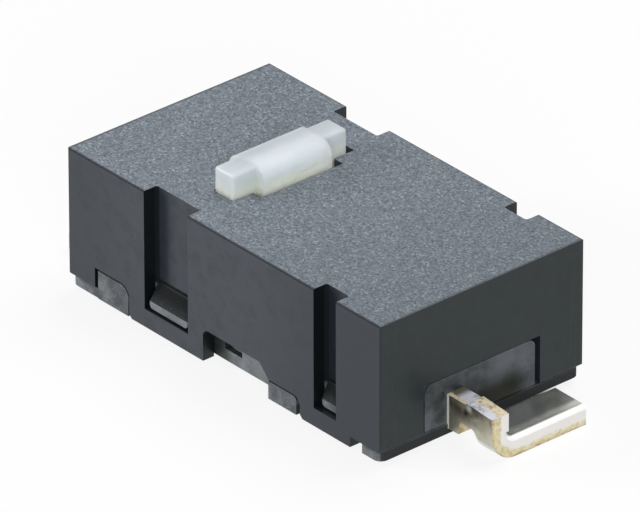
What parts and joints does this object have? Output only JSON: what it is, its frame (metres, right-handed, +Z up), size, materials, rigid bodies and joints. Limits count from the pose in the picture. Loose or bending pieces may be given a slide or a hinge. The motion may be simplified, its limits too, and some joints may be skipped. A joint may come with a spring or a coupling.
{
  "type": "micro switch",
  "caption": "Low-profile surface-mount snap-action micro switch with a stepped push button in its roof and a folded solder foot at each end.",
  "frame": {"origin": "centre of the footprint on the seating plane, where the solder feet rest", "axes": "+X along the case towards the terminal of the normally open contact, +Y across the case, +Z up, out of the push button"},
  "size_m": [0.0152, 0.0068, 0.0048],
  "materials": {
    "case_plastic": "dark grey moulded plastic, fine sparkle texture on the roof",
    "base_plastic": "grey glass-filled moulded plastic, slightly mottled",
    "button_plastic": "milky white, slightly translucent",
    "terminal_plate": "bright plated copper alloy with bare sheared edges",
    "spring_copper": "thin beryllium copper spring sheet",
    "contact_silver": "silver alloy contact rivet"
  },
  "bodies": {
    "housing": {"case": "case_plastic", "base": "base_plastic", "open_terminal": "terminal_plate", "common_terminal": "terminal_plate", "fixed_contact": "contact_silver", "snap_blade": "spring_copper"},
    "button": {"plunger": "button_plastic"},
    "contact_rivet": {"moving_contact": "contact_silver"}
  },
  "joints": [
    {"name": "button_press", "type": "slide", "parent": "housing", "child": "button", "axis": [0, 0, -1], "range_m": [0, 0.0004], "stiffness_N_per_m": 1500, "springref_m": -0.0001},
    {"name": "contact_close", "type": "slide", "parent": "housing", "child": "contact_rivet", "axis": [0, 0, -1], "range_m": [0, 0.00036], "deforming": ["snap_blade"]}
  ],
  "couplings": [
    {"joint": "contact_close", "follows": "button_press", "ratio": 0.9}
  ]
}
